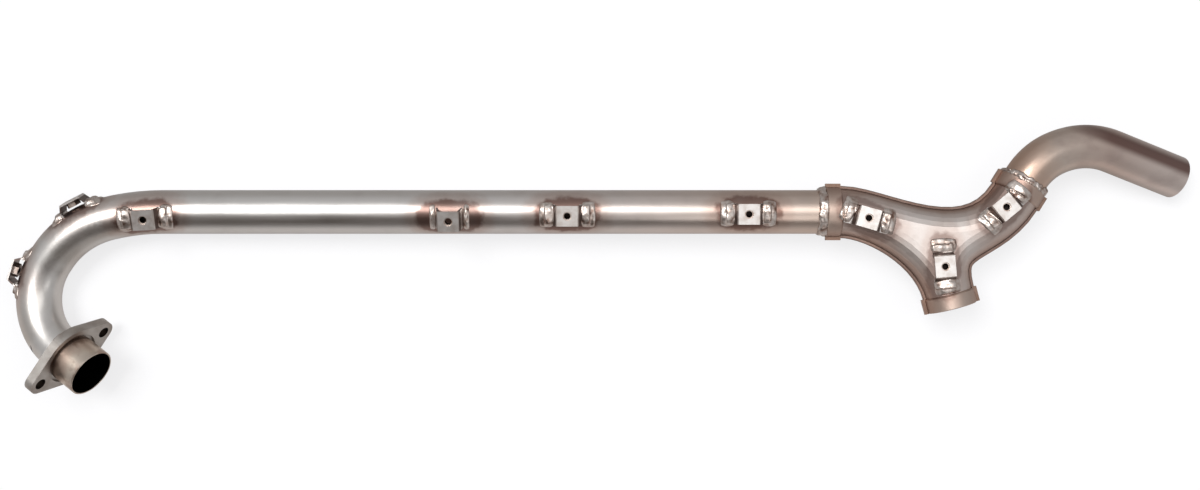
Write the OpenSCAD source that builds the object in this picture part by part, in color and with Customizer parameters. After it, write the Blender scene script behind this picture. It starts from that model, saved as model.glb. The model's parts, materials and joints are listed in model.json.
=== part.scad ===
// Front section of a welded steel exhaust: a bolted inlet, one long pipe with a hooked end,
// a pressed two-half Y junction and a second, short bent outlet pipe. Millimetres.

/* [Pipe] */
// Outside diameter of both pipes
pipe_d = 35; // [33:0.5:37]
// Wall of both pipes
pipe_wall = 1.5; // [1.2:0.1:2]
// Straight run between the hooked bend and the rim of the junction collar
run_len = 530; // [460:1:620]

/* [Hooked bend] */
// Centre-line radius of the first, gentle bend
bend_a_r = 180; // [150:1:220]
// Angle of the first bend
bend_a_deg = 14; // [10:1:18]
// Centre-line radius of the second bend
bend_b_r = 78; // [70:1:100]
// Angle of the second bend
bend_b_deg = 41; // [38:1:46]
// Roll of the second bend out of the plane of the first
bend_b_roll = -13; // [-18:1:0]
// Centre-line radius of the last, tight bend
bend_c_r = 48.5; // [46:0.5:56]
// Angle of the last bend
bend_c_deg = 94.5; // [88:0.5:98]
// Roll of the last bend
bend_c_roll = 28; // [20:1:34]
// Straight pipe between the last two bends
bend_gap = 4; // [1:0.5:8]
// Straight pipe between the last bend and the back of the flange
tail_len = 6.5; // [6:0.5:14]

/* [Inlet flange] */
// Thickness of the flange plate
flange_t = 7.5; // [6:0.5:10]
// Distance between the two stud holes
stud_pitch = 64; // [62:0.5:74]
// Diameter of a stud hole
stud_hole_d = 9; // [8:0.5:10]
// Radius of the flange round a stud hole
flange_ear_r = 9; // [9:0.5:12]
// Radius of the middle of the flange
flange_hub_r = 26.5; // [25:0.5:29]
// Turn of the stud line about the pipe
flange_turn = -40; // [-60:1:-20]
// Depth of the recess round the sleeve
recess_depth = 2.5; // [1.5:0.5:4]
// Gap between the sleeve and the wall of the recess
recess_gap = 2.5; // [1.5:0.5:3]
// Outside diameter of the inlet sleeve
sleeve_d = 40; // [39:0.5:42]
// Wall of the inlet sleeve at its mouth
sleeve_wall = 1.5; // [1.2:0.1:2]
// How far the sleeve stands out of the flange
sleeve_out = 22; // [16:0.5:28]

/* [Junction] */
// Outside radius of the necks of the junction
neck_r = 18; // [17.5:0.25:19]
// Thickness of the pressed sheet
sheet_t = 2; // [1.5:0.1:2.4]
// Width of the pinched seam flange
seam_w = 2.6; // [2:0.25:4]
// Outside diameter of a collar
collar_d = 40; // [39.5:0.5:42]
// Length of a collar, from its rim to its step
collar_len = 12; // [10:0.5:16]
// Radial clearance between a collar and a pipe
collar_fit = 0.3; // [0.2:0.05:0.5]
// Step of the open outlet, along the run and across it
open_outlet_x = 98.4; // [94:0.2:106]
open_outlet_y = -64.8; // [-72:0.2:-60]
// Direction of the open outlet
open_outlet_deg = -75; // [-80:1:-70]
// Step of the piped outlet, along the run and across it
piped_outlet_x = 151.5; // [146:0.2:158]
piped_outlet_y = 12.5; // [8:0.2:20]
// Direction of the piped outlet
piped_outlet_deg = 58; // [56:1:64]
// Reach of the outer flank curve, at the inlet and at the open outlet
flank_in = 27; // [24:1:30]
flank_out = 41; // [38:1:44]
// Reach of the crotch curve, at the open outlet and at the piped outlet
crotch_in = 53; // [50:1:56]
crotch_out = 44; // [43:1:48]
// Reach of the saddle curve, at the piped outlet and at the inlet
saddle_in = 68; // [66:1:69]
saddle_out = 31; // [30:1:35]

/* [Outlet pipe] */
// Straight pipe between the rim of the collar and the first bend
lead_len = 4; // [3:0.5:10]
// Centre-line radius of the first bend
sweep_a_r = 52; // [46:1:64]
// Angle of the first bend
sweep_a_deg = 34.5; // [30:0.5:40]
// Roll of the first bend out of the junction plane
sweep_a_roll = 17; // [8:1:24]
// Centre-line radius of the second bend
sweep_b_r = 72; // [64:1:80]
// Angle of the second bend
sweep_b_deg = 43; // [38:0.5:48]
// Straight end of the outlet pipe
end_len = 64; // [50:1:90]

/* [Screw clips] */
// Width of a clip strip
clip_w = 16.2; // [14:0.2:18]
// Thickness of a clip strip
clip_t = 1.5; // [1.2:0.1:1.8]
// Overall length of a clip strip
clip_len = 35; // [33:0.5:38]
// Length of the raised bridge
bridge_len = 16.5; // [16:0.5:18]
// Height of the bridge over the pipe
bridge_h = 7.2; // [6.8:0.1:8.5]
// How far each web of a clip leans out
web_lean = 3; // [2:0.25:4]
// Hole in the bridge
clip_hole_d = 7; // [6.5:0.1:8]
// Width of a nut across its flats
nut_af = 10; // [9:0.5:10.5]
// Height of a nut
nut_h = 4.2; // [3.5:0.1:4.4]
// Bore of a nut
nut_bore_d = 5; // [4:0.1:5.5]
// Height of the tall bracket over the pipe
tall_h = 11.5; // [10:0.5:14]
// Length of the tall bracket at its foot
tall_len = 21; // [20.5:0.5:24]

/* [Clip places] */
// Distances of the run clips and of the tall bracket from the collar rim
run_clip_a_at = 62.9; // [50:0.1:80]
run_clip_b_at = 205.8; // [180:0.1:240]
tall_at = 298.9; // [270:0.1:330]
// Turn of each of them about the pipe
run_clip_a_turn = -5.6; // [-30:0.1:30]
run_clip_b_turn = -9.3; // [-30:0.1:30]
tall_turn = -17; // [-30:0.1:30]
// Angles along the three bends at which the bend clips sit
bend_clip_a_at = 3; // [3:0.5:8]
bend_clip_b_at = 13; // [12:0.5:26]
bend_clip_c_at = 18.5; // [16:0.5:30]
// Turn of each bend clip about the pipe
bend_clip_a_turn = -16.2; // [-30:0.1:30]
bend_clip_b_turn = 90; // [70:1:100]
bend_clip_c_turn = 66; // [50:1:100]

/* [Welds] */
// Length of a weld bead along the pipe
bead_len = 6.5; // [4:0.5:8]
// Length of the bead at the end of a clip
clip_bead_len = 3.8; // [3:0.2:4.5]
// Height of the bead at the end of a clip
clip_bead_h = 2.2; // [1.6:0.1:2.6]

/* [Rest] */
// Pitch of the part as it lies on the ground
rest_pitch = -1.9; // [-6:0.1:6]
// Roll of the part as it lies on the ground
rest_roll = -2.4; // [-6:0.1:6]

/* [Hidden] */
$fn = 72;

steel = [0.72, 0.70, 0.67];
bright = [0.86, 0.85, 0.83];
tinted = [0.55, 0.45, 0.39];
bead_steel = [0.48, 0.42, 0.38];

pipe_r = pipe_d / 2;
bore_r = pipe_r - pipe_wall;
collar_r = collar_d / 2;
seat_r = pipe_r + collar_fit;
neck_bore_r = neck_r - sheet_t;
// The end wall of a collar
step_t = 1;
// A pipe stops just short of the end wall of its collar
seat_depth = collar_len - step_t - 0.5;
// Close fit of a welded piece on the round of a pipe, and of a bead beside a bent strip
seat_gap = 0.1;
bead_gap = 0.35;
cut = 0.5;
sleeve_seat = flange_t - 1;

// Frames along a pipe: x runs on along the pipe, y points at the centre of the bend
module along(length) { translate([length, 0, 0]) children(); }
module round_bend(r, deg, roll = 0) {
  rotate([roll, 0, 0])
    translate([r * sin(deg), r * (1 - cos(deg)), 0])
      rotate([0, 0, deg]) children();
}
module pipe_section() { difference() { circle(r = pipe_r); circle(r = bore_r); } }
module straight_pipe(length) { rotate([0, 90, 0]) linear_extrude(length) pipe_section(); }
module bend_after(bend_r, deg) {
  translate([0, bend_r, 0]) rotate([0, 0, -90])
    rotate_extrude(angle = deg) translate([bend_r, 0]) pipe_section();
}
module bend_before(bend_r, deg) {
  translate([0, bend_r, 0]) rotate([0, 0, -90])
    rotate_extrude(angle = -deg) translate([bend_r, 0]) pipe_section();
}

// The same frames as matrices, to find the place of the flange face
function shift(v) = [[1, 0, 0, v[0]], [0, 1, 0, v[1]], [0, 0, 1, v[2]], [0, 0, 0, 1]];
function turn_x(a) = [[1, 0, 0, 0], [0, cos(a), -sin(a), 0], [0, sin(a), cos(a), 0], [0, 0, 0, 1]];
function turn_z(a) = [[cos(a), -sin(a), 0, 0], [sin(a), cos(a), 0, 0], [0, 0, 1, 0], [0, 0, 0, 1]];
function bend_m(r, deg, roll) = turn_x(roll) * shift([r * sin(deg), r * (1 - cos(deg)), 0]) * turn_z(deg);

run_m = turn_z(180) * shift([run_len, 0, 0]);
bend_a_m = run_m * bend_m(bend_a_r, bend_a_deg, 0);
bend_b_m = bend_a_m * bend_m(bend_b_r, bend_b_deg, bend_b_roll);
bend_c_m = bend_b_m * shift([bend_gap, 0, 0]) * bend_m(bend_c_r, bend_c_deg, bend_c_roll);
face_m = bend_c_m * shift([tail_len + flange_t, 0, 0]);
face_at = face_m * [0, 0, 0, 1];

// The part lies as it rests, with its origin at the middle of the flange face
module placed() {
  rotate([rest_roll, rest_pitch, 0]) translate([-face_at[0], -face_at[1], -face_at[2]]) children();
}

// Header pipe, in three lengths: the run with the gentle bend, the elbow, and the hook
module header_run() {
  color(steel) placed() rotate([0, 0, 180]) along(run_len) {
    along(-run_len - seat_depth) straight_pipe(run_len + seat_depth);
    bend_after(bend_a_r, bend_a_deg);
  }
}
module header_elbow() {
  color(steel) placed() multmatrix(bend_b_m) {
    bend_before(bend_b_r, bend_b_deg);
    straight_pipe(bend_gap);
  }
}
module header_hook() {
  color(steel) placed() multmatrix(bend_c_m) {
    bend_before(bend_c_r, bend_c_deg);
    straight_pipe(tail_len + sleeve_seat);
  }
}

// Inlet: x runs out of the mouth and x = 0 is the flange face
sleeve_r = sleeve_d / 2;
// The sleeve is turned down where it sits in the flange
turned_r = sleeve_r - sleeve_wall / 3;
module at_inlet() { placed() multmatrix(face_m) children(); }
module flange_blank() {
  hull() {
    circle(r = flange_hub_r);
    for (side = [-1, 1]) translate([side * stud_pitch / 2, 0]) circle(r = flange_ear_r);
  }
}
module inlet_flange() {
  color(steel) at_inlet() rotate([flange_turn, 0, 0]) rotate([0, 90, 0]) rotate([0, 0, 90]) difference() {
    translate([0, 0, -flange_t]) linear_extrude(flange_t) flange_blank();
    translate([0, 0, -flange_t - cut]) cylinder(r = turned_r + seat_gap, h = flange_t + 2 * cut);
    translate([0, 0, -recess_depth]) cylinder(r = sleeve_r + recess_gap, h = recess_depth + cut);
    for (side = [-1, 1]) translate([side * stud_pitch / 2, 0, -flange_t - cut])
      cylinder(d = stud_hole_d, h = flange_t + 2 * cut);
  }
}
module inlet_sleeve() {
  lip = sleeve_wall / 3;
  color(tinted) at_inlet() rotate([0, 90, 0]) rotate_extrude() polygon([
    [seat_r, -flange_t], [turned_r, -flange_t], [turned_r, 0], [sleeve_r, 0], [sleeve_r, sleeve_out - lip],
    [sleeve_r - lip, sleeve_out], [sleeve_r - sleeve_wall + lip, sleeve_out],
    [sleeve_r - sleeve_wall, sleeve_out - lip], [sleeve_r - sleeve_wall, 0],
    [bore_r + pipe_wall / 2, -0.5], [seat_r, -0.5]]);
}
module bead_ring(root_r, top_r, length) {
  rotate([0, 90, 0]) rotate_extrude() polygon([
    [root_r, 0], [top_r, 0], [top_r - 0.1 * (top_r - root_r), 0.3 * length],
    [root_r + 0.55 * (top_r - root_r), 0.75 * length], [root_r, length]]);
}
module inlet_weld() {
  color(bead_steel) at_inlet() translate([-flange_t, 0, 0]) rotate([0, 0, 180])
    bead_ring(pipe_r + seat_gap, sleeve_r + 1, tail_len - 1.5);
}

// Junction: one pressed half is a curved wall rolled round the flow outline, with a pinched flange
mouth_w = 0.3;
SPAN = 14;
ROUND = 6;
mouths = [[collar_len, 0, 180], [open_outlet_x, open_outlet_y, open_outlet_deg],
          [piped_outlet_x, piped_outlet_y, piped_outlet_deg]];
reaches = [[flank_in, flank_out], [crotch_in, crotch_out], [saddle_in, saddle_out]];
function way(deg) = [cos(deg), sin(deg)];
function left_of(deg) = [-sin(deg), cos(deg)];
function spot(m) = [m[0], m[1]];
// Control points of the outline curve from mouth i to the next one
function knots(i) =
  let (a = mouths[i], b = mouths[(i + 1) % 3],
       p = spot(a) + mouth_w * left_of(a[2]), q = spot(b) - mouth_w * left_of(b[2]))
  [p, p - reaches[i][0] * way(a[2]), q - reaches[i][1] * way(b[2]), q];
function on_curve(k, t) = pow(1 - t, 3) * k[0] + 3 * t * pow(1 - t, 2) * k[1]
  + 3 * t * t * (1 - t) * k[2] + pow(t, 3) * k[3];
function slope(k, t) = pow(1 - t, 2) * (k[1] - k[0]) + 2 * t * (1 - t) * (k[2] - k[1]) + t * t * (k[3] - k[2]);
function out_of(k, t) = let (d = slope(k, t)) [d[1], -d[0]] / norm(d);

// Section of the pressed sheet, out from the outline and up from the seam
press_fillet = 1.2;
function arc_x(r, z) = sqrt(r * r - z * z);
root_z = sheet_t + press_fillet;
root_deg = asin(root_z / neck_r);
outside = concat(
  [[neck_r + seam_w, 0], [neck_r + seam_w, sheet_t - 0.5], [neck_r + seam_w - 0.5, sheet_t],
   [arc_x(neck_r, sheet_t) + press_fillet / 2, sheet_t]],
  [for (i = [0 : ROUND]) let (a = root_deg + (90 - root_deg) * i / ROUND) neck_r * [cos(a), sin(a)]]);
inside = [for (i = [0 : ROUND]) let (a = 90 - 90 * i / ROUND) neck_bore_r * [cos(a), sin(a)]];
section = concat(outside, inside);
NS = len(section);
NO = len(outside);
rows = [for (i = [0 : 2]) for (s = [0 : SPAN]) [i, s / SPAN]];
sheet_points = [for (row = rows) let (k = knots(row[0]), p = on_curve(k, row[1]), n = out_of(k, row[1]))
  for (c = section) [p[0] + n[0] * c[0], p[1] + n[1] * c[0], c[1]]];
ROWS = len(rows);
function id(row, j) = (row % ROWS) * NS + j;
walls = [for (i = [0 : 2]) for (s = [0 : SPAN - 1]) for (j = [0 : NS - 1]) if (j != NO - 1)
  let (a = i * (SPAN + 1) + s, n = (j + 1) % NS) [id(a, j), id(a, n), id(a + 1, n), id(a + 1, j)]];
// Flat crown and ceiling: each curve is stitched to the two beside it, up to its middle
MID = SPAN / 2;
function at(i, s) = (i % 3) * (SPAN + 1) + s;
crown = concat(
  [for (i = [0 : 2]) for (s = [0 : MID - 1])
    [id(at(i, s), NO - 1), id(at(i + 2, SPAN - s), NO - 1), id(at(i + 2, SPAN - s - 1), NO - 1),
     id(at(i, s + 1), NO - 1)]],
  [[id(at(0, MID), NO - 1), id(at(2, MID), NO - 1), id(at(1, MID), NO - 1)]]);
ceiling = concat(
  [for (i = [0 : 2]) for (s = [0 : MID - 1])
    [id(at(i, s), NO), id(at(i, s + 1), NO), id(at(i + 2, SPAN - s - 1), NO), id(at(i + 2, SPAN - s), NO)]],
  [[id(at(0, MID), NO), id(at(1, MID), NO), id(at(2, MID), NO)]]);
// Cut ends of the sheet at the three mouths: the foot of each side, the two sides and the top
FOOT = NO - 1 - ROUND;
function end_side(a) = concat(
  [[id(a, NS - 1), for (j = [0 : FOOT]) id(a, j)]],
  [for (j = [0 : ROUND - 1]) [id(a, FOOT + j), id(a, FOOT + j + 1), id(a, NS - 2 - j), id(a, NS - 1 - j)]]);
function flipped(face) = [for (j = [len(face) - 1 : -1 : 0]) face[j]];
ends = [for (i = [0 : 2]) let (a = at(i, SPAN), b = at(i + 1, 0))
  each concat(end_side(a), [for (face = end_side(b)) flipped(face)],
    [[id(a, NO - 1), id(b, NO - 1), id(b, NO), id(a, NO)]])];
module pressed_sheet() { polyhedron(points = sheet_points, faces = concat(walls, crown, ceiling, ends)); }

module at_mouth(i) { translate([mouths[i][0], mouths[i][1], 0]) rotate([0, 0, mouths[i][2]]) children(); }
module junction_top() { color(tinted) placed() pressed_sheet(); }
module junction_bottom() { color(tinted) placed() mirror([0, 0, 1]) pressed_sheet(); }

// Half of a collar: x runs out of the junction, and the step at x = 0 closes on the cut end of the sheet
module half_collar() {
  edge = 0.6;
  corner = 0.3;
  rotate([90, 0, 90]) rotate_extrude(angle = 180) polygon([
    [neck_bore_r, 0], [neck_r + 0.4, 0], [collar_r - edge, step_t - 0.4], [collar_r, step_t + 0.4],
    [collar_r, collar_len - edge], [collar_r - edge, collar_len], [seat_r, collar_len],
    [seat_r, step_t + corner], [seat_r - corner, step_t], [neck_bore_r, step_t]]);
  for (side = [0, 1]) mirror([0, side, 0])
    translate([0, collar_r - 0.7, 0]) cube([collar_len, seam_w + 0.7, sheet_t]);
}
module half_collars() { for (i = [0 : 2]) at_mouth(i) half_collar(); }
module junction_top_collars() { color(tinted) placed() half_collars(); }
module junction_bottom_collars() { color(tinted) placed() mirror([0, 0, 1]) half_collars(); }

// Weld rings where the pipes enter the collars
module header_collar_weld() {
  color(bead_steel) placed() rotate([0, 0, 180]) bead_ring(pipe_r + seat_gap, collar_r - 0.7, bead_len);
}
module outlet_collar_weld() {
  color(bead_steel) placed() at_mouth(2) along(collar_len)
    outlet_lead_weld();
}
module outlet_lead_weld() { bead_ring(pipe_r + seat_gap, collar_r - 0.7, lead_len); }

// Outlet pipe: x runs on from the rim of the collar
module outlet_elbow() {
  color(tinted) placed() at_mouth(2) along(collar_len + lead_len) rotate([180 + sweep_a_roll, 0, 0]) {
    along(-seat_depth - lead_len) straight_pipe(seat_depth + lead_len);
    bend_after(sweep_a_r, sweep_a_deg);
  }
}
module outlet_end() {
  color(tinted) placed() at_mouth(2) along(collar_len + lead_len) rotate([180, 0, 0])
    round_bend(sweep_a_r, sweep_a_deg, sweep_a_roll) round_bend(sweep_b_r, sweep_b_deg) {
      bend_before(sweep_b_r, sweep_b_deg);
      straight_pipe(end_len);
    }
}

// Frames of the clips: x along the pipe, z out through the bridge
module on_run(at, turn) { placed() rotate([0, 0, 180]) along(at) rotate([turn, 0, 0]) children(); }
module on_bend_a(at, turn) {
  placed() rotate([0, 0, 180]) along(run_len) round_bend(bend_a_r, at) rotate([turn, 0, 0]) children();
}
module on_bend_b(at, turn) {
  placed() rotate([0, 0, 180]) along(run_len) round_bend(bend_a_r, bend_a_deg)
    round_bend(bend_b_r, at, bend_b_roll) rotate([turn, 0, 0]) children();
}
module on_bend_c(at, turn) {
  placed() rotate([0, 0, 180]) along(run_len) round_bend(bend_a_r, bend_a_deg)
    round_bend(bend_b_r, bend_b_deg, bend_b_roll) along(bend_gap)
      round_bend(bend_c_r, at, bend_c_roll) rotate([turn, 0, 0]) children();
}
// What a clip sits on: a straight round, or a ring whose middle lies at bend_r
module seat(r, bend_r, turn) {
  if (bend_r == 0) rotate([0, 90, 0]) cylinder(r = r, h = 3 * clip_len, center = true);
  else rotate([-turn, 0, 0]) translate([0, bend_r, 0]) rotate_extrude() translate([bend_r, 0]) circle(r = r);
}
function hat(half, lean, top, low, t) =
  let (inner = t * lean / (top - low))
  [[-half - lean, low], [-half, top], [half, top], [half + lean, low], [half + lean - t, low],
   [half - t + inner, top - t], [-half + t - inner, top - t], [-half - lean + t, low]];
module clip(r, bend_r = 0, turn = 0) {
  low = r - 5;
  top = r + bridge_h;
  lean = web_lean * (top - low) / (bridge_h - clip_t);
  foot_at = bridge_len / 2 + web_lean - clip_t;
  difference() {
    translate([0, clip_w / 2, 0]) rotate([90, 0, 0])
      linear_extrude(clip_w) polygon(hat(bridge_len / 2, lean, top, low, clip_t));
    seat(r + seat_gap, bend_r, turn);
    cylinder(d = clip_hole_d, h = 2 * top);
  }
  difference() {
    intersection() {
      seat(r + seat_gap + clip_t, bend_r, turn);
      for (side = [0, 1]) mirror([side, 0, 0])
        translate([foot_at, -clip_w / 2, low - 2]) cube([clip_len / 2 - foot_at, clip_w, top - low]);
    }
    seat(r + seat_gap, bend_r, turn);
  }
}
module bend_clip_a() {
  color(bright) on_bend_a(bend_clip_a_at, bend_clip_a_turn) clip(pipe_r, bend_a_r, bend_clip_a_turn);
}
module bend_clip_b() {
  color(bright) on_bend_b(bend_clip_b_at, bend_clip_b_turn) clip(pipe_r, bend_b_r, bend_clip_b_turn);
}
module bend_clip_c() {
  color(bright) on_bend_c(bend_clip_c_at, bend_clip_c_turn) clip(pipe_r, bend_c_r, bend_clip_c_turn);
}
module run_clip_a() { color(bright) on_run(run_clip_a_at, run_clip_a_turn) clip(pipe_r); }
module run_clip_b() { color(bright) on_run(run_clip_b_at, run_clip_b_turn) clip(pipe_r); }

// Tall bracket: a plain channel whose legs stand on the pipe
module tall_bracket() {
  low = pipe_r - 4;
  top = pipe_r + tall_h;
  lean = (tall_len - bridge_len) / 2 * (top - low) / tall_h;
  color(bright) on_run(tall_at, tall_turn) difference() {
    translate([0, clip_w / 2, 0]) rotate([90, 0, 0])
      linear_extrude(clip_w) polygon(hat(bridge_len / 2, lean, top, low, clip_t));
    seat(pipe_r + seat_gap, 0, 0);
    cylinder(d = clip_hole_d, h = 2 * top);
  }
}

// Junction clips: the feet are draped over the pressed sheet and stop short of the collars
FORM = ROUND + 1;
function form_points(r) = [for (row = rows) let (k = knots(row[0]), p = on_curve(k, row[1]), n = out_of(k, row[1]))
  for (i = [0 : ROUND]) let (a = root_deg + (90 - root_deg) * i / ROUND)
    [p[0] + n[0] * r * cos(a), p[1] + n[1] * r * cos(a), r * sin(a)]];
function form_id(row, j) = (row % ROWS) * FORM + j;
form_walls = [for (i = [0 : 2]) for (s = [0 : SPAN - 1]) for (j = [0 : ROUND - 1]) let (a = at(i, s))
  [form_id(a, j), form_id(a, j + 1), form_id(a + 1, j + 1), form_id(a + 1, j)]];
function form_deck(j) = concat(
  [for (i = [0 : 2]) for (s = [0 : MID - 1])
    [form_id(at(i, s), j), form_id(at(i + 2, SPAN - s), j), form_id(at(i + 2, SPAN - s - 1), j),
     form_id(at(i, s + 1), j)]],
  [[form_id(at(0, MID), j), form_id(at(2, MID), j), form_id(at(1, MID), j)]]);
form_ends = [for (i = [0 : 2]) let (a = at(i, SPAN), b = at(i + 1, 0))
  [for (j = [0 : ROUND]) form_id(a, j), for (j = [ROUND : -1 : 0]) form_id(b, j)]];
form_faces = concat(form_walls, form_deck(ROUND), [for (face = form_deck(0)) flipped(face)], form_ends);
// The outside of the pressed sheet as one solid block, or that block grown to a larger radius
module press_form(r) { polyhedron(points = form_points(r), faces = form_faces); }
// All that lies past the step of a collar, seen from the middle of the junction
module past_step(i) {
  at_mouth(i) translate([-seat_gap, -clip_len, 0]) cube([clip_len, 2 * clip_len, 2 * neck_r]);
}
clip_spots = [[31, -5.2, -16], [90.9, -43.3, 95], [139, 3.4, 40]];
// The ends of each junction clip that carry a bead: the last one runs up to the collar weld
bead_ends = [[0, 1], [0, 1], [1]];
// How far the ridge of the sheet lies beside the middle of each strip
ridge_at = [2.5, -2, -2.5];
clip_dip = 8;
module on_junction(i) {
  translate([clip_spots[i][0], clip_spots[i][1], 0]) rotate([0, 0, clip_spots[i][2]]) children();
}
module junction_clip(i) {
  low = neck_r - clip_dip;
  top = neck_r + bridge_h;
  lean = web_lean * (top - low) / (bridge_h - clip_t);
  foot_at = bridge_len / 2 + web_lean - clip_t;
  color(bright) placed() difference() {
    union() {
      on_junction(i) translate([0, clip_w / 2, 0]) rotate([90, 0, 0])
        linear_extrude(clip_w) polygon(hat(bridge_len / 2, lean, top, low, clip_t));
      intersection() {
        press_form(neck_r + seat_gap + clip_t);
        on_junction(i) for (side = [0, 1]) mirror([side, 0, 0])
          translate([foot_at, -clip_w / 2, low - 1]) cube([clip_len / 2 - foot_at, clip_w, 2 * clip_dip]);
      }
    }
    press_form(neck_r + seat_gap);
    on_junction(i) cylinder(d = clip_hole_d, h = 2 * top);
    past_step(i);
  }
}
module junction_clip_a() { junction_clip(0); }
module junction_clip_b() { junction_clip(1); }
module junction_clip_c() { junction_clip(2); }

// Nuts under the bridges
module nut(top) {
  translate([0, 0, top - clip_t - nut_h]) difference() {
    cylinder(d = nut_af / cos(30), h = nut_h, $fn = 6);
    translate([0, 0, -cut]) cylinder(d = nut_bore_d, h = nut_h + 2 * cut);
  }
}
module clip_nuts() {
  color(bead_steel) {
    on_bend_a(bend_clip_a_at, bend_clip_a_turn) nut(pipe_r + bridge_h);
    on_bend_b(bend_clip_b_at, bend_clip_b_turn) nut(pipe_r + bridge_h);
    on_bend_c(bend_clip_c_at, bend_clip_c_turn) nut(pipe_r + bridge_h);
    on_run(run_clip_a_at, run_clip_a_turn) nut(pipe_r + bridge_h);
    on_run(run_clip_b_at, run_clip_b_turn) nut(pipe_r + bridge_h);
    on_run(tall_at, tall_turn) nut(pipe_r + tall_h);
    placed() for (i = [0 : 2]) on_junction(i) nut(neck_r + bridge_h);
  }
}

// Beads at the two ends of a strip, laid round the pipe
module clip_bead(r, under = seat_gap) {
  spread = asin(clip_w / 2 / r);
  rotate([0, 90, 0]) rotate([0, 0, 180 - spread]) rotate_extrude(angle = 2 * spread) polygon([
    [r + under, 0], [r + clip_bead_h, 0], [r + clip_bead_h, 0.3 * clip_bead_len],
    [r + 0.6 * clip_bead_h, 0.8 * clip_bead_len], [r + under, clip_bead_len]]);
}
module bead_pair(r, half) {
  for (side = [0, 1]) mirror([side, 0, 0]) translate([half + seat_gap, 0, 0]) clip_bead(r);
}
// Angle along the bend at which a bead clears the square end of its strip
function bead_at(r, bend_r, turn) =
  let (lift = turn < 0 ? r + clip_t : sqrt(r * r - clip_w * clip_w / 4))
  atan2(clip_len / 2 + bead_gap, bend_r + lift * sin(turn) - clip_w / 2 * abs(cos(turn)));
module bent_bead_pair(r, bend_r, turn) {
  for (side = [0, 1]) mirror([side, 0, 0]) rotate([-turn, 0, 0]) translate([0, bend_r, 0])
    rotate([0, 0, bead_at(r, bend_r, turn)]) translate([0, -bend_r, 0]) rotate([turn, 0, 0]) clip_bead(r);
}
module bend_clip_welds() {
  color(bead_steel) {
    on_bend_a(bend_clip_a_at, bend_clip_a_turn) bent_bead_pair(pipe_r, bend_a_r, bend_clip_a_turn);
    on_bend_b(bend_clip_b_at, bend_clip_b_turn) bent_bead_pair(pipe_r, bend_b_r, bend_clip_b_turn);
    on_bend_c(bend_clip_c_at, bend_clip_c_turn) bent_bead_pair(pipe_r, bend_c_r, bend_clip_c_turn);
  }
}
module run_clip_welds() {
  color(bead_steel) {
    on_run(run_clip_a_at, run_clip_a_turn) bead_pair(pipe_r, clip_len / 2);
    on_run(run_clip_b_at, run_clip_b_turn) bead_pair(pipe_r, clip_len / 2);
    on_run(tall_at, tall_turn) bead_pair(pipe_r, tall_len / 2 + 0.5);
  }
}
module junction_clip_welds() {
  color(bead_steel) placed() difference() {
    for (i = [0 : 2]) difference() {
      for (side = bead_ends[i]) on_junction(i) mirror([side, 0, 0])
        translate([clip_len / 2 + seat_gap, ridge_at[i], 0]) clip_bead(neck_r, -clip_dip / 2);
      past_step(i);
    }
    press_form(neck_r + seat_gap);
  }
}

header_run();
header_elbow();
header_hook();
inlet_flange();
inlet_sleeve();
inlet_weld();
junction_top();
junction_bottom();
junction_top_collars();
junction_bottom_collars();
header_collar_weld();
outlet_collar_weld();
outlet_elbow();
outlet_end();
bend_clip_a();
bend_clip_b();
bend_clip_c();
run_clip_a();
run_clip_b();
tall_bracket();
junction_clip_a();
junction_clip_b();
junction_clip_c();
clip_nuts();
bend_clip_welds();
run_clip_welds();
junction_clip_welds();
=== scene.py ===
import json
import math
import bmesh
import bpy
from mathutils import Matrix, Vector, noise


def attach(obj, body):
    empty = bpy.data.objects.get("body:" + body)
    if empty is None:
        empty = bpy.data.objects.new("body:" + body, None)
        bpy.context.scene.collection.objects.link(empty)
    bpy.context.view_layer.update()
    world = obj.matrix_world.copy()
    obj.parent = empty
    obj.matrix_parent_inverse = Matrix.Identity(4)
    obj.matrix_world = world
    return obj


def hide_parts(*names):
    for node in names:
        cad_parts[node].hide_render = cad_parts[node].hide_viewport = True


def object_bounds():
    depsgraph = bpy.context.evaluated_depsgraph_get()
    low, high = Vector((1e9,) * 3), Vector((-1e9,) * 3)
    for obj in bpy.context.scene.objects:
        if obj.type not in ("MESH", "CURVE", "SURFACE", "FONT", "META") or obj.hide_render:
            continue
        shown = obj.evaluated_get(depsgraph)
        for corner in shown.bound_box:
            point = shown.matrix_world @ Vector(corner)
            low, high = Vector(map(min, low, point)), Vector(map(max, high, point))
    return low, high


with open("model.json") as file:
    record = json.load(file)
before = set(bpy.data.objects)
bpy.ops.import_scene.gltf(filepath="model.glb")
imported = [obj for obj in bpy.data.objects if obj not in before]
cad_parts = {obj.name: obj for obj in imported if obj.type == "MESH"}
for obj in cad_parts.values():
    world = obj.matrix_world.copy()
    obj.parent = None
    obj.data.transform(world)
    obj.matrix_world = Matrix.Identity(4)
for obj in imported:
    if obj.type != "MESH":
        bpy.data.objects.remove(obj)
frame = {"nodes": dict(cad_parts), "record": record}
cad_box = [list(corner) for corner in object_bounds()]
steel_nodes = frame["nodes"]
mounts = {mount["name"]: mount for mount in frame["record"]["mounts"]}

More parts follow.
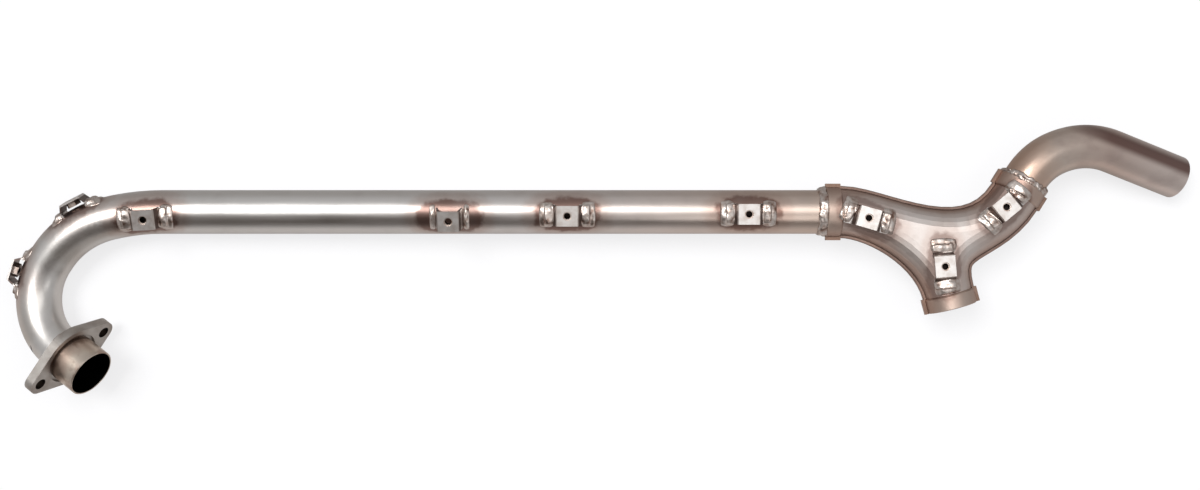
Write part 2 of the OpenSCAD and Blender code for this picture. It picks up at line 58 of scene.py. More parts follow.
# Studio table. The pipe lies on a matt white table in soft daylight from the upper left, with a wash of
# light from the ceiling and a small card at the right. The room is darker towards the foot of the
# picture, which the round tube shows as a dark band.
scene = bpy.context.scene
scene.view_settings.view_transform = "Standard"
mm = 0.001
table_z = cad_box[0][2]
lie_pitch = math.radians(-1.9)
lie_roll = math.radians(-2.4)
lie = Matrix.Rotation(lie_pitch, 4, "Y") @ Matrix.Rotation(lie_roll, 4, "X")
camera_place = (0.41895, 0.08981, 1.24149)
table_middle = (0.42, 0.09, table_z)
table_side = 9
dark_way = (-0.25, -0.68, 0.69)
foot_of_table, back_of_table = -0.07, 0.06
white_seen = 0.70
painted_reflection_share = 0.8
daylight_from = (-0.36, 0.27, 0.88)

camera_data = bpy.data.cameras.new("photo_camera")
camera_data.lens = 46.9
camera_data.clip_end = 20
camera = bpy.data.objects.new("photo_camera", camera_data)
scene.collection.objects.link(camera)
camera.matrix_world = lie @ Matrix.Translation(camera_place)
scene.camera = camera


def link_all(tree, *pairs):
    for source, target in pairs:
        tree.links.new(source, target)


def ramp_of(tree, factor, stops):
    ramp = tree.nodes.new("ShaderNodeValToRGB")
    while len(ramp.color_ramp.elements) < len(stops):
        ramp.color_ramp.elements.new(0.5)
    for element, (place, colour) in zip(ramp.color_ramp.elements, stops):
        element.position = place
        element.color = (*colour, 1)
    tree.links.new(factor, ramp.inputs["Fac"])
    return ramp.outputs["Color"]


def vectored(tree, operation, vector, other=None):
    """One vector node: its number comes out as Value, its vector as Vector."""
    vector_node = tree.nodes.new("ShaderNodeVectorMath")
    vector_node.operation = operation
    tree.links.new(vector, vector_node.inputs[0])
    if other is not None:
        vector_node.inputs[1].default_value = other
    return vector_node.outputs


def dotted(tree, vector, direction):
    return vectored(tree, "DOT_PRODUCT", vector, Vector(direction).normalized())["Value"]


def computed(tree, operation, first, second=0.0):
    math_node = tree.nodes.new("ShaderNodeMath")
    math_node.operation = operation
    for socket, value in zip(math_node.inputs, (first, second)):
        if isinstance(value, (int, float)):
            socket.default_value = value
        else:
            tree.links.new(value, socket)
    return math_node.outputs[0]


def stepped(tree, value, low, high):
    span = tree.nodes.new("ShaderNodeMapRange")
    span.interpolation_type = "SMOOTHSTEP"
    span.inputs["From Min"].default_value = low
    span.inputs["From Max"].default_value = high
    tree.links.new(value, span.inputs["Value"])
    return span.outputs["Result"]


def glow_share(tree, to_camera, to_gloss):
    """How much of a glow shows straight to the camera, and how much in the gloss of the metal."""
    path = tree.nodes.new("ShaderNodeLightPath")
    straight = computed(tree, "MAXIMUM", path.outputs["Is Camera Ray"], path.outputs["Is Transmission Ray"])
    straight = computed(tree, "MULTIPLY", straight, to_camera)
    mirrored = computed(tree, "MULTIPLY", path.outputs["Is Glossy Ray"], to_gloss)
    return computed(tree, "MAXIMUM", straight, mirrored)


room = bpy.data.worlds.new("studio_room")
scene.world = room
room.use_nodes = True
room_tree = room.node_tree
room_tree.nodes.clear()
room_place = room_tree.nodes.new("ShaderNodeTexCoord")
toward_dark = dotted(room_tree, room_place.outputs["Generated"], dark_way)
room_shade = ramp_of(room_tree, stepped(room_tree, toward_dark, 0.62, 0.98),
                     [(0.0, (0.70, 0.70, 0.71)), (0.55, (0.50, 0.48, 0.47)), (1.0, (0.12, 0.10, 0.09))])
room_light = room_tree.nodes.new("ShaderNodeBackground")
room_light.inputs["Strength"].default_value = 0.72
room_out = room_tree.nodes.new("ShaderNodeOutputWorld")
link_all(room_tree, (room_shade, room_light.inputs["Color"]),
         (room_light.outputs[0], room_out.inputs["Surface"]))

bpy.ops.object.select_all(action="DESELECT")
bpy.ops.mesh.primitive_plane_add(size=table_side, location=table_middle)
table = bpy.context.object
table.name = "white_table"
table_top = bpy.data.materials.new("white_table_top")
table_top.use_nodes = True
table_tree = table_top.node_tree
table_paint = table_tree.nodes["Principled BSDF"]
table_paint.inputs["Base Color"].default_value = (0.86, 0.86, 0.87, 1)
table_paint.inputs["Roughness"].default_value = 0.6
table_glow = table_tree.nodes.new("ShaderNodeEmission")
table_glow.inputs["Color"].default_value = (1.05, 1.05, 1.06, 1)
table_mix = table_tree.nodes.new("ShaderNodeMixShader")
link_all(table_tree, (glow_share(table_tree, white_seen, 0.0), table_mix.inputs[0]),
         (table_paint.outputs[0], table_mix.inputs[1]), (table_glow.outputs[0], table_mix.inputs[2]))
# Painted reflection: what the metal sees of the table in its gloss is painted darker than the table, paler
# at the foot and darker at the back, which darkens the tube's edges.
table_painted_reflection = table_tree.nodes.new("ShaderNodeEmission")
table_split = table_tree.nodes.new("ShaderNodeSeparateXYZ")
table_place = table_tree.nodes.new("ShaderNodeTexCoord")
toward_back = stepped(table_tree, table_split.outputs["Y"], foot_of_table, back_of_table)
painted_reflection_tone = ramp_of(table_tree, toward_back, [(0.0, (0.60, 0.56, 0.54)), (1.0, (0.25, 0.235, 0.225))])
link_all(table_tree, (table_place.outputs["Object"], table_split.inputs[0]),
         (painted_reflection_tone, table_painted_reflection.inputs["Color"]))
table_end = table_tree.nodes.new("ShaderNodeMixShader")
link_all(table_tree, (glow_share(table_tree, 0.0, painted_reflection_share), table_end.inputs[0]),
         (table_mix.outputs[0], table_end.inputs[1]), (table_painted_reflection.outputs[0], table_end.inputs[2]),
         (table_end.outputs[0], table_tree.nodes["Material Output"].inputs["Surface"]))
table.data.materials.append(table_top)


def add_window(name, place, aim, size, watts, turn=0.0):
    lamp = bpy.data.lights.new(name, "AREA")
    lamp.shape = "RECTANGLE"
    lamp.size, lamp.size_y = size
    lamp.energy = watts
    holder = bpy.data.objects.new(name, lamp)
    holder.location = place
    facing = (Vector(aim) - Vector(place)).to_track_quat("-Z", "Y").to_matrix()
    holder.rotation_euler = (facing @ Matrix.Rotation(math.radians(turn), 3, "Z")).to_euler()
    scene.collection.objects.link(holder)


day = bpy.data.lights.new("daylight", "SUN")
day.energy = 1.7
day.angle = math.radians(24)
day_holder = bpy.data.objects.new("daylight", day)
day_holder.rotation_euler = Vector(daylight_from).to_track_quat("Z", "Y").to_euler()
scene.collection.objects.link(day_holder)
add_window("ceiling_wash", (0.45, 0.62, 2.2), (0.45, 0.1, 0), (2.6, 1.0), 11, -10)
add_window("right_card", (0.66, -0.24, 0.62), (0.88, 0.14, 0), (0.34, 0.34), 0.5)

# Header pipe. Drawn stainless tube, bent cold and brushed to a satin; the welding of its strips and of
# the junction has tinted it straw, then brown, more and more towards the junction.
satin = (0.70, 0.68, 0.655)
heat_brown = (0.44, 0.29, 0.23)
scorched = (0.17, 0.085, 0.065)
# Painted shade under the nuts, seen through their screw holes.
painted_shade_under_nut = (0.015, 0.011, 0.010)
# Painted shade inside the mouths and bores.
inside_painted_shade = (0.012, 0.011, 0.010)
heat_along, heat_across, heat_above = 24.0 * mm, 12.2 * mm, 26.0 * mm
heat_corner, heat_top = 2.6, 6.0
shade_under_nut_reach = 6.6 * mm
inside_shade_skin = 0.3 * mm
inside_shade_depth = 40 * mm
bend_bore = 16.2
strip_names = ["bend_clip_a", "bend_clip_b", "bend_clip_c", "run_clip_a", "run_clip_b", "tall_bracket",
               "junction_clip_a", "junction_clip_b", "junction_clip_c"]


def strip_place(name):
    mount = mounts[name + "_thread"]
    return Vector(mount["pos_m"]), Vector(mount["axis"]).normalized()


def copy_of(names, joined_name):
    bpy.ops.object.select_all(action="DESELECT")
    for name in names:
        twin = steel_nodes[name].copy()
        twin.data = steel_nodes[name].data.copy()
        twin.parent = None
        scene.collection.objects.link(twin)
        twin.select_set(True)
        bpy.context.view_layer.objects.active = twin
    bpy.ops.object.join()
    joined = bpy.context.object
    joined.name = joined_name
    for key in [key for key in joined.keys() if key.startswith("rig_")]:
        del joined[key]
    bpy.ops.object.mode_set(mode="EDIT")
    bpy.ops.mesh.select_all(action="SELECT")
    bpy.ops.mesh.remove_doubles(threshold=1e-6)
    bpy.ops.object.mode_set(mode="OBJECT")
    return joined


def loose_middles(name):
    """The middle of each separate bead of a CAD node, so that the scene's beads go where they are."""
    seen = copy_of([name], "bead_guide")
    bm = bmesh.new()
    bm.from_mesh(seen.data)
    middles = []
    reached = set()
    for first in bm.verts:
        if first in reached:
            continue
        reached.add(first)
        stack = [first]
        island = []
        while stack:
            vert = stack.pop()
            island.append(vert.co.copy())
            for edge in vert.link_edges:
                other = edge.other_vert(vert)
                if other not in reached:
                    reached.add(other)
                    stack.append(other)
        middles.append(sum(island, Vector()) / len(island))
    bm.free()
    bpy.data.objects.remove(seen)
    return middles


guide_nodes = {"bend": "bend_clip_welds", "run": "run_clip_welds", "tall": "run_clip_welds",
               "junction": "junction_clip_welds"}
middles_of = {node: loose_middles(node) for node in sorted(set(guide_nodes.values()))}


def ends_of(name):
    """The two places where a strip is welded down, found from the CAD beads nearest to it."""
    seat, _ = strip_place(name)
    guide = middles_of[guide_nodes[name.split("_")[0]]]
    near = sorted(guide, key=lambda middle: (middle - seat).length)[:2]
    if name == "junction_clip_c":
        near = [near[0], seat * 2 - near[0]]
    return near


strip_ends = {name: ends_of(name) for name in strip_names}


def noised(tree, place, scale, detail=4.0, stretch=(1, 1, 1)):
    mapping = tree.nodes.new("ShaderNodeMapping")
    mapping.inputs["Scale"].default_value = stretch
    grain = tree.nodes.new("ShaderNodeTexNoise")
    grain.inputs["Scale"].default_value = scale
    grain.inputs["Detail"].default_value = detail
    link_all(tree, (place, mapping.inputs["Vector"]), (mapping.outputs[0], grain.inputs["Vector"]))
    return grain.outputs["Fac"]


def distance_to(tree, place, point):
    return vectored(tree, "DISTANCE", place, point)["Value"]


def mixed(tree, factor, first, second):
    blend = tree.nodes.new("ShaderNodeMix")
    blend.data_type = "RGBA"
    for value, socket in ((factor, blend.inputs[0]), (first, blend.inputs[6]), (second, blend.inputs[7])):
        if isinstance(value, tuple):
            socket.default_value = (*value, 1)
        elif isinstance(value, (int, float)):
            socket.default_value = value
        else:
            tree.links.new(value, socket)
    return blend.outputs[2]


def start_metal(name):
    metal = bpy.data.materials.new(name)
    metal.use_nodes = True
    tree = metal.node_tree
    place = tree.nodes.new("ShaderNodeTexCoord").outputs["Object"]
    surface = tree.nodes["Principled BSDF"]
    surface.inputs["Metallic"].default_value = 1.0
    return metal, tree, place, surface


def finish_metal(tree, surface, colour, rough, height, depth):
    bump = tree.nodes.new("ShaderNodeBump")
    bump.inputs["Distance"].default_value = depth
    bump.inputs["Strength"].default_value = 0.6
    link_all(tree, (colour, surface.inputs["Base Color"]), (rough, surface.inputs["Roughness"]),
             (height, bump.inputs["Height"]), (bump.outputs[0], surface.inputs["Normal"]))


def taken(tree, first, second):
    return vectored(tree, "SUBTRACT", first, second)["Vector"]


def near_axis(tree, place, seat, axis, reach):
    """1 on what lies within reach of the line through seat along axis."""
    across = vectored(tree, "CROSS_PRODUCT", taken(tree, place, seat), axis)["Vector"]
    return computed(tree, "LESS_THAN", vectored(tree, "LENGTH", across)["Value"], reach)


def round_strips(tree, place, names):
    """Ovals round the strips, 1 at the outline of their weld pads and growing outwards, and the distance
    to the nearest nut."""
    oval = None
    hole = None
    for name in names:
        seat, out = strip_place(name)
        along = strip_ends[name][0] - seat
        along = (along - out * along.dot(out)).normalized()
        local = taken(tree, place, seat)
        size = 0.0
        for way, half, power in ((along, heat_along, heat_corner),
                                 (out.cross(along), heat_across, heat_corner),
                                 (out, heat_above, heat_top)):
            share = computed(tree, "ABSOLUTE", computed(tree, "DIVIDE", dotted(tree, local, way), half))
            size = computed(tree, "ADD", size, computed(tree, "POWER", share, power))
        oval = size if oval is None else computed(tree, "MINIMUM", oval, size)
        near = distance_to(tree, place, seat)
        hole = near if hole is None else computed(tree, "MINIMUM", hole, near)
    return oval, hole


def tinted_round_strips(tree, place, names, colour, strength=1.0):
    oval, hole = round_strips(tree, place, names)
    wander = computed(tree, "MULTIPLY", computed(tree, "SUBTRACT", noised(tree, place, 140, 4), 0.5), 1.6)
    ragged = computed(tree, "ADD", oval, wander)
    halo = computed(tree, "SUBTRACT", 1.0, stepped(tree, ragged, 1.1, 4.0))
    colour = mixed(tree, computed(tree, "MULTIPLY", halo, 0.50 * strength), colour, heat_brown)
    tight = computed(tree, "SUBTRACT", 1.0, stepped(tree, ragged, 0.95, 1.7))
    colour = mixed(tree, computed(tree, "MULTIPLY", tight, 0.80 * strength), colour, scorched)
    # Painted shade: the tube under each nut, seen through its screw hole, is painted near black.
    return mixed(tree, computed(tree, "LESS_THAN", hole, shade_under_nut_reach), colour, painted_shade_under_nut)


def shade_inside_bore(tree, place, mount_name, colour, wall=None, deep=inside_shade_depth):
    """Painted shade: near black on what lies inside the round wall of a mount, within the given depth of its
    middle.
    """
    mount = mounts[mount_name]
    axis = Vector(mount["axis"]).normalized()
    wall = (wall or mount["dims"]["r_mm"]) * mm + inside_shade_skin
    reach = computed(tree, "ABSOLUTE", dotted(tree, taken(tree, place, mount["pos_m"]), axis))
    inside = computed(tree, "MULTIPLY", near_axis(tree, place, mount["pos_m"], axis, wall),
                      computed(tree, "LESS_THAN", reach, deep))
    return mixed(tree, inside, colour, inside_painted_shade)


header_steel, tree, place, surface = start_metal("header_satin_tube")
split = tree.nodes.new("ShaderNodeSeparateXYZ")
tree.links.new(place, split.inputs[0])
along_run = split.outputs["X"]
blotch = noised(tree, place, 9, 4, (0.5, 1, 1))
tint_at = computed(tree, "ADD", along_run, computed(tree, "MULTIPLY", blotch, 0.16))
colour = ramp_of(tree, stepped(tree, tint_at, 0.16, 0.74),
                 [(0.0, satin), (0.40, (0.69, 0.655, 0.63)), (0.75, (0.68, 0.60, 0.555)),
                  (1.0, (0.60, 0.47, 0.39))])
colour = tinted_round_strips(tree, place, strip_names[:6], colour)
cloud = computed(tree, "MULTIPLY", stepped(tree, noised(tree, place, 46, 5), 0.45, 0.8), 0.22)
colour = mixed(tree, cloud, colour, (0.40, 0.36, 0.33))
brushing = noised(tree, place, 260, 6, (0.06, 1, 1))
rough = computed(tree, "ADD", 0.25, computed(tree, "MULTIPLY", brushing, 0.16))
finish_metal(tree, surface, colour, rough, brushing, 0.00006)

bend_steel, tree, place, surface = start_metal("header_satin_bend")
colour = mixed(tree, stepped(tree, noised(tree, place, 22, 5), 0.35, 0.75), satin, (0.52, 0.48, 0.44))
colour = tinted_round_strips(tree, place, strip_names[:3], colour, 0.8)
colour = shade_inside_bore(tree, place, "inlet_mouth", colour, wall=bend_bore)
scuffs = noised(tree, place, 420, 6)
rough = computed(tree, "ADD", 0.27, computed(tree, "MULTIPLY", scuffs, 0.14))
finish_metal(tree, surface, colour, rough, scuffs, 0.00005)


def wear(node_name, metal):
    mesh = steel_nodes[node_name].data
    mesh.materials.clear()
    mesh.materials.append(metal)


wear("header_run", header_steel)
wear("header_elbow", bend_steel)
wear("header_hook", bend_steel)

# Inlet flange and sleeve. The flange is laser-cut plate with a dull scale on it, its stud holes painted
# dark as painted shade; the sleeve is turned tube, tinted straw and brown by its weld, and painted near
# black inside as painted shade.
flange_plate, tree, place, surface = start_metal("flange_cut_plate")
scale_marks = noised(tree, place, 75, 6)
colour = mixed(tree, stepped(tree, scale_marks, 0.3, 0.75), (0.50, 0.475, 0.445), (0.34, 0.30, 0.27))
studs = mounts["inlet_studs"]
stud_axis = Vector(studs["axis"])
ear = studs["dims"]["pcd_mm"] / 2 * mm
hole_size = studs["dims"]["hole_r_mm"] * mm
hole_shade_skin = 0.25 * mm
flange_points = [vert.co for vert in steel_nodes["inlet_flange"].data.vertices]
far_vert = max(flange_points, key=lambda co: (co - stud_axis * co.dot(stud_axis)).length)
ear_way = (far_vert - stud_axis * far_vert.dot(stud_axis)).normalized()
# Painted shade: the walls and rims of the stud holes are painted near black.
for side in (-1, 1):
    painted_hole_shade = near_axis(tree, place, ear_way * ear * side, stud_axis, hole_size + hole_shade_skin)
    colour = mixed(tree, painted_hole_shade, colour, (0.035, 0.025, 0.02))
pits = noised(tree, place, 520, 5)
rough = computed(tree, "ADD", 0.36, computed(tree, "MULTIPLY", pits, 0.2))
finish_metal(tree, surface, colour, rough, pits, 0.00012)
wear("inlet_flange", flange_plate)

sleeve_steel, tree, place, surface = start_metal("sleeve_straw_tint")
mouth_axis = Vector(mounts["inlet_sleeve"]["axis"]).normalized()
out_of_flange = dotted(tree, place, mouth_axis)
turning = noised(tree, place, 60, 5, (1, 1, 1))
banded = computed(tree, "ADD", out_of_flange, computed(tree, "MULTIPLY", turning, 0.022))
colour = ramp_of(tree, stepped(tree, banded, 0.006, 0.036),
                 [(0.0, (0.36, 0.26, 0.21)), (0.35, (0.56, 0.44, 0.36)), (0.7, (0.66, 0.57, 0.48)),
                  (1.0, (0.58, 0.50, 0.43))])
blots = stepped(tree, noised(tree, place, 85, 5), 0.50, 0.66)
colour = mixed(tree, computed(tree, "MULTIPLY", blots, 0.6), colour, (0.25, 0.15, 0.11))
colour = shade_inside_bore(tree, place, "inlet_mouth", colour)
rings = noised(tree, place, 380, 4)
rough = computed(tree, "ADD", 0.26, computed(tree, "MULTIPLY", rings, 0.16))
finish_metal(tree, surface, colour, rough, rings, 0.00006)
wear("inlet_sleeve", sleeve_steel)

# Junction and its collars. Two sheets pressed in a die and seam-welded along their pinched flange:
# paler on the crown, brown towards the seam, with a dark line of painted shade in the crease where the
# flange leaves the wall. The collars are painted near black inside, as painted shade.
seam_normal = lie.to_3x3() @ Vector((0, 0, 1))
seam_level = Vector(mounts["open_outlet"]["pos_m"]).dot(seam_normal)
seam_wall = 2.4 * mm
root_shade_solid, root_shade_faded = 0.2 * mm, 1.3 * mm
collar_shade_depth = 12 * mm


def pressed_metal(name, crown, side, root_shade):
    metal, tree, place, surface = start_metal(name)
    height = computed(tree, "SUBTRACT", dotted(tree, place, seam_normal), seam_level)
    rise = computed(tree, "ABSOLUTE", height)
    mottle = noised(tree, place, 28, 5)
    lifted = computed(tree, "ADD", rise, computed(tree, "MULTIPLY", mottle, 0.012))
    colour = ramp_of(tree, stepped(tree, lifted, 0.004, 0.024), [(0.0, side), (0.5, side), (1.0, crown)])
    # Painted shade: a dark line in the crease where the flange leaves the wall.
    from_root = computed(tree, "ABSOLUTE", computed(tree, "SUBTRACT", rise, seam_wall))
    painted_root_shade = computed(tree, "SUBTRACT", 1.0, stepped(tree, from_root, root_shade_solid, root_shade_faded))
    colour = mixed(tree, computed(tree, "MULTIPLY", painted_root_shade, 0.8), colour, root_shade)
    colour = tinted_round_strips(tree, place, strip_names[6:], colour, 0.7)
    stains = computed(tree, "MULTIPLY", stepped(tree, noised(tree, place, 90, 5), 0.5, 0.8), 0.3)
    colour = mixed(tree, stains, colour, (0.38, 0.29, 0.25))
    grain = noised(tree, place, 480, 6)
    rough = computed(tree, "ADD", 0.36, computed(tree, "MULTIPLY", grain, 0.18))
    finish_metal(tree, surface, colour, rough, grain, 0.00008)
    return metal, tree, place, surface, colour


sheet_steel, *_ = pressed_metal("junction_pressed_sheet", crown=(0.68, 0.62, 0.585), side=(0.42, 0.31, 0.26),
                                root_shade=(0.09, 0.05, 0.04))
for half in ("junction_top", "junction_bottom"):
    wear(half, sheet_steel)
collar_steel, tree, place, surface, colour = pressed_metal(
    "junction_collar_sheet", crown=(0.52, 0.42, 0.36), side=(0.40, 0.28, 0.225), root_shade=(0.12, 0.07, 0.05))
colour = shade_inside_bore(tree, place, "open_outlet", colour, deep=collar_shade_depth)
tree.links.new(colour, surface.inputs["Base Color"])
for half in ("junction_top_collars", "junction_bottom_collars"):
    wear(half, collar_steel)

# Outlet pipe. The same tube as the header, most tinted of all, straw and brown, cleaner towards the plain
# end.
# A dark band painted along the upper side of its end is a painted reflection, and its inside is painted near
# black as painted shade.
painted_band_offset = 8.0 * mm
painted_band_solid, painted_band_faded = 2.0 * mm, 9.0 * mm
painted_band_starts, painted_band_full = 0.775, 0.83

outlet_steel, tree, place, surface = start_metal("outlet_heat_tint_painted_band")
split = tree.nodes.new("ShaderNodeSeparateXYZ")
tree.links.new(place, split.inputs[0])
stain = noised(tree, place, 24, 5, (1, 1.6, 1))
swept = computed(tree, "ADD", split.outputs["X"], computed(tree, "MULTIPLY", stain, 0.06))
colour = ramp_of(tree, stepped(tree, swept, 0.755, 0.93),
                 [(0.0, (0.52, 0.34, 0.25)), (0.3, (0.62, 0.52, 0.45)), (0.65, (0.62, 0.49, 0.43)),
                  (1.0, (0.72, 0.62, 0.57))])
stained = computed(tree, "MULTIPLY", stepped(tree, stain, 0.5, 0.75), 0.45)
colour = mixed(tree, stained, colour, (0.30, 0.21, 0.185))
end_at = Vector(mounts["end_pipe"]["pos_m"])
end_axis = Vector(mounts["end_pipe"]["axis"])
end_side = Vector((-end_axis.y, end_axis.x, 0)).normalized()
# Painted reflection: a dark band along the upper side of the end pipe.
across = computed(tree, "SUBTRACT", dotted(tree, place, end_side), end_at.dot(end_side))
off_painted_band = computed(tree, "ABSOLUTE", computed(tree, "SUBTRACT", across, painted_band_offset))
painted_band = computed(tree, "SUBTRACT", 1.0, stepped(tree, off_painted_band, painted_band_solid, painted_band_faded))
on_end = stepped(tree, split.outputs["X"], painted_band_starts, painted_band_full)
painted_band = computed(tree, "MULTIPLY", painted_band, on_end)
colour = mixed(tree, computed(tree, "MULTIPLY", painted_band, 0.92), colour, (0.17, 0.095, 0.08))
colour = shade_inside_bore(tree, place, "end_mouth", colour)
brushed = noised(tree, place, 380, 6)
rough = computed(tree, "ADD", 0.26, computed(tree, "MULTIPLY", brushed, 0.15))
finish_metal(tree, surface, colour, rough, brushed, 0.00006)
wear("outlet_elbow", outlet_steel)
wear("outlet_end", outlet_steel)

# Strips and nuts. Bright cold-rolled strip, cut and folded into a bridge with a screw hole, over a
# nut that was welded under it; the nut is browned. The webs, the hole's edge and the nut's bore are painted
# dark as painted shade.
web_middle = -0.2 * mm
web_shade_solid, web_shade_faded = 1.9 * mm, 2.7 * mm
shaded_screw_hole = 3.35 * mm
shaded_nut_bore = 2.62 * mm
nut_reach = 8 * mm

for strip in strip_names:
    seat, out = strip_place(strip)
    strip_steel, tree, place, surface = start_metal(strip + "_steel")
    rolled = noised(tree, place, 160, 6)
    colour = mixed(tree, stepped(tree, rolled, 0.35, 0.8), (0.72, 0.685, 0.66), (0.54, 0.48, 0.44))
    # Painted shade: the strip is darkened at the height of its webs, where the bridge meets the tube.
    height = computed(tree, "SUBTRACT", dotted(tree, place, out), seat.dot(out))
    from_web = computed(tree, "ABSOLUTE", computed(tree, "SUBTRACT", height, web_middle))
    painted_web_shade = computed(tree, "SUBTRACT", 1.0, stepped(tree, from_web, web_shade_solid, web_shade_faded))
    colour = mixed(tree, computed(tree, "MULTIPLY", painted_web_shade, 0.9), colour, (0.085, 0.05, 0.04))
    # Painted shade: the strip round the screw hole is painted dark.
    colour = mixed(tree, near_axis(tree, place, seat, out, shaded_screw_hole), colour, (0.10, 0.06, 0.05))
    specks = noised(tree, place, 900, 4)
    rough = computed(tree, "ADD", 0.32, computed(tree, "MULTIPLY", specks, 0.2))
    finish_metal(tree, surface, colour, rough, specks, 0.00005)
    wear(strip, strip_steel)
nut_steel, tree, place, surface = start_metal("nut_browned_bore_shaded")
browned = stepped(tree, noised(tree, place, 210, 5), 0.3, 0.75)
colour = mixed(tree, browned, (0.62, 0.55, 0.50), (0.36, 0.25, 0.20))
for strip in strip_names:
    seat, out = strip_place(strip)
    # Painted shade: the nut's bore is painted near black.
    painted_bore_shade = computed(tree, "MULTIPLY", near_axis(tree, place, seat, out, shaded_nut_bore),
                       computed(tree, "LESS_THAN", distance_to(tree, place, seat), nut_reach))
    colour = mixed(tree, painted_bore_shade, colour, (0.03, 0.018, 0.014))
pitted = noised(tree, place, 700, 4)
rough = computed(tree, "ADD", 0.32, computed(tree, "MULTIPLY", pitted, 0.2))
finish_metal(tree, surface, colour, rough, pitted, 0.00006)
wear("clip_nuts", nut_steel)

# Weld pads on the strips. Each end of a strip is tacked down by hand with a fat, lumpy bead that runs
# over its foot and on to the tube. A soft sheet is draped over both, then swelled into the bead.
pad_length = 11.6 * mm
pad_width = 21.0 * mm
pad_rise = 2.1 * mm
pad_middle = 16.6 * mm
pad_start = 12 * mm
pad_rows, pad_columns = 26, 46
pad_skin = 0.35 * mm
pad_sink = 0.15 * mm
pad_wave = 0.22 * mm
pad_wave_scale = 420
pad_reach = 40 * mm
short_pad = {"tall_bracket": (5.0 * mm, 13.4 * mm)}

weld_metal, tree, place, surface = start_metal("weld_bead_metal")
ripple = noised(tree, place, 190, 4)
colour = ramp_of(tree, ripple, [(0.30, (0.22, 0.13, 0.10)), (0.44, (0.50, 0.41, 0.36)),
                                (0.60, (0.66, 0.60, 0.56)), (0.80, (0.42, 0.32, 0.27))])
rough = computed(tree, "ADD", 0.24, computed(tree, "MULTIPLY", ripple, 0.22))
finish_metal(tree, surface, colour, rough, ripple, 0.0004)

carrier_of = {"bend_clip_a": "header_run", "bend_clip_b": "header_elbow", "bend_clip_c": "header_hook",
              "run_clip_a": "header_run", "run_clip_b": "header_run", "tall_bracket": "header_run",
              "junction_clip_a": "junction_top", "junction_clip_b": "junction_top",
              "junction_clip_c": "junction_top"}
neighbours_of = {"bend_clip_b": ["header_run", "header_hook"], "bend_clip_c": ["header_elbow"],
                 "junction_clip_a": ["junction_top_collars"], "junction_clip_b": ["junction_top_collars"],
                 "junction_clip_c": ["junction_top_collars"]}


def strip_frame(name, toward):
    """x along the strip towards one of its ends, z out through its bridge, from the hole."""
    seat, out = strip_place(name)
    along = toward - seat
    along = (along - out * along.dot(out)).normalized()
    side = out.cross(along)
    spin = Matrix((along, side, out)).transposed().to_4x4()
    return Matrix.Translation(seat) @ spin


def apply_modifiers(piece):
    bpy.ops.object.select_all(action="DESELECT")
    piece.select_set(True)
    bpy.context.view_layer.objects.active = piece
    for modifier in list(piece.modifiers):
        bpy.ops.object.modifier_apply(modifier=modifier.name)


def settle(piece):
    bpy.ops.object.select_all(action="DESELECT")
    piece.select_set(True)
    bpy.context.view_layer.objects.active = piece
    bpy.ops.object.transform_apply(location=True, rotation=True, scale=True)


def lay_pad(name, toward, number):
    """A sheet above one end of a strip, rounded at its corners, and the height of the bead at each point."""
    length, middle = short_pad.get(name, (pad_length, pad_middle))
    bpy.ops.object.select_all(action="DESELECT")
    bpy.ops.mesh.primitive_grid_add(x_subdivisions=pad_rows, y_subdivisions=pad_columns, size=1)
    pad = bpy.context.object
    pad.name = f"weld_pad_{name}_{number}"
    pad.matrix_world = (strip_frame(name, toward) @ Matrix.Translation((middle, 0, pad_start))
                        @ Matrix.Diagonal((length, pad_width, 1, 1)))
    height = {}
    for vert in pad.data.vertices:
        u, v = vert.co.x * 2, vert.co.y * 2
        lump = noise.noise(Vector((u * 1.3 + number * 7.1, v * 1.9, number * 3.7)))
        edge = max(0.0, 1 - abs(u) ** 2.6) * max(0.0, 1 - abs(v) ** 4)
        height[vert.index] = edge ** 0.5 * (0.72 + 0.42 * lump)
        round_off = 1 - 0.14 * abs(v) ** 2 - 0.05 * lump
        vert.co.x *= round_off
        vert.co.y *= 1 + 0.05 * lump - 0.10 * abs(u) ** 2
    settle(pad)
    return pad, height


def drape(pad, height, out, ground, number):
    """Each point drops on to what lies under it, and is then lifted by the bead's height there."""
    inverse = ground.matrix_world.inverted()
    lost = []
    for vert in pad.data.vertices:
        hit, where, _, _ = ground.ray_cast(inverse @ vert.co, -out, distance=pad_reach)
        if not hit:
            lost.append(vert.index)
            continue
        wave = noise.noise(Vector(where) * pad_wave_scale + Vector((number, 0, 0)))
        bead = height[vert.index]
        vert.co = where + out * (pad_rise * bead + pad_wave * wave * bead - pad_sink)
    return lost


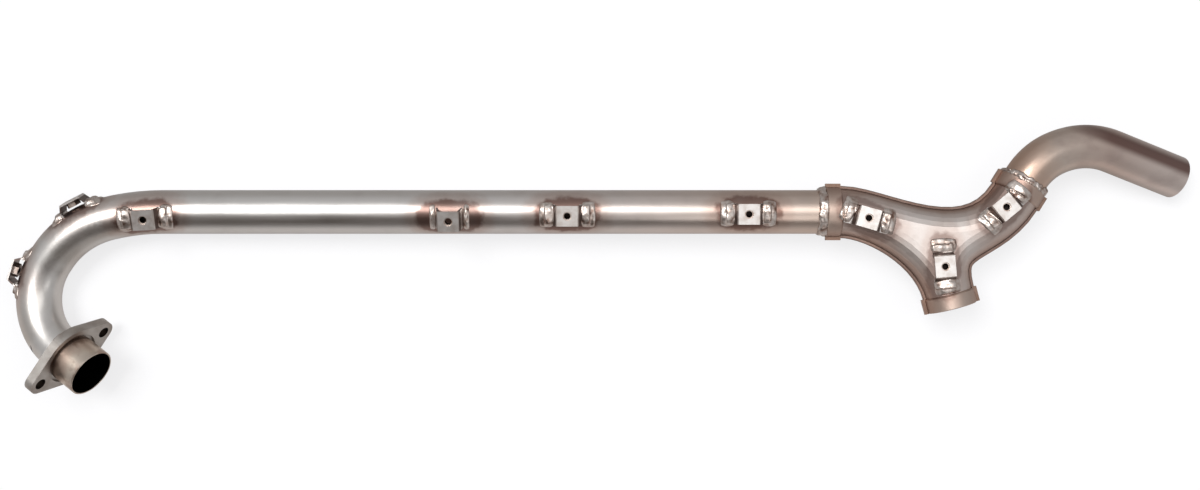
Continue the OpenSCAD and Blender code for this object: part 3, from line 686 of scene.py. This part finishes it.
for strip in strip_names:
    _, out = strip_place(strip)
    ground = copy_of([strip, carrier_of[strip]] + neighbours_of.get(strip, []), "ground_" + strip)
    for number, middle in enumerate(strip_ends[strip]):
        pad, height = lay_pad(strip, middle, number + 2 * strip_names.index(strip))
        lost = drape(pad, height, out, ground, number + strip_names.index(strip))
        bm = bmesh.new()
        bm.from_mesh(pad.data)
        bm.verts.ensure_lookup_table()
        bmesh.ops.delete(bm, geom=[bm.verts[index] for index in lost], context="VERTS")
        bm.to_mesh(pad.data)
        bm.free()
        melt = pad.modifiers.new("melt", "SMOOTH")
        melt.factor = 0.5
        melt.iterations = 3
        body = pad.modifiers.new("body", "SOLIDIFY")
        body.thickness = pad_skin
        body.offset = -1
        apply_modifiers(pad)
        bpy.ops.object.mode_set(mode="EDIT")
        bpy.ops.mesh.select_all(action="SELECT")
        bpy.ops.mesh.normals_make_consistent(inside=False)
        bpy.ops.object.mode_set(mode="OBJECT")
        bpy.ops.object.shade_smooth()
        pad.data.materials.clear()
        pad.data.materials.append(weld_metal)
        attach(pad, "root")
    bpy.data.objects.remove(ground)
for node in sorted(set(guide_nodes.values())):
    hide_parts(node)

# Weld rings at the collars and behind the flange. Two or three passes of filler laid by hand, so each
# ring is uneven, with frozen ripples and a few fat lumps.
ring_voxel = 0.5 * mm
ripple_rise = 1.6 * mm
lump_rise = 4.2 * mm
ring_ripple = bpy.data.textures.new("ring_ripple", "CLOUDS")
ring_ripple.noise_scale = 4.5 * mm
ring_lump = bpy.data.textures.new("ring_lump", "CLOUDS")
ring_lump.noise_scale = 11 * mm


def lay_ring(node, name, swell):
    ring = copy_of([node], name)
    even = ring.modifiers.new("even", "REMESH")
    even.mode = "VOXEL"
    even.voxel_size = ring_voxel
    for title, texture, rise in (("lump", ring_lump, lump_rise), ("ripple", ring_ripple, ripple_rise)):
        push = ring.modifiers.new(title, "DISPLACE")
        push.texture = texture
        push.texture_coords = "LOCAL"
        push.strength = rise * swell
        push.mid_level = 0.40
    apply_modifiers(ring)
    bpy.ops.object.shade_smooth()
    ring.data.materials.clear()
    ring.data.materials.append(weld_metal)
    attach(ring, "root")
    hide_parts(node)


lay_ring("header_collar_weld", "weld_ring_header", 1.0)
lay_ring("outlet_collar_weld", "weld_ring_outlet", 1.6)
lay_ring("inlet_weld", "weld_ring_inlet", 0.7)

# Bring the view layer up to date.
bpy.context.view_layer.update()
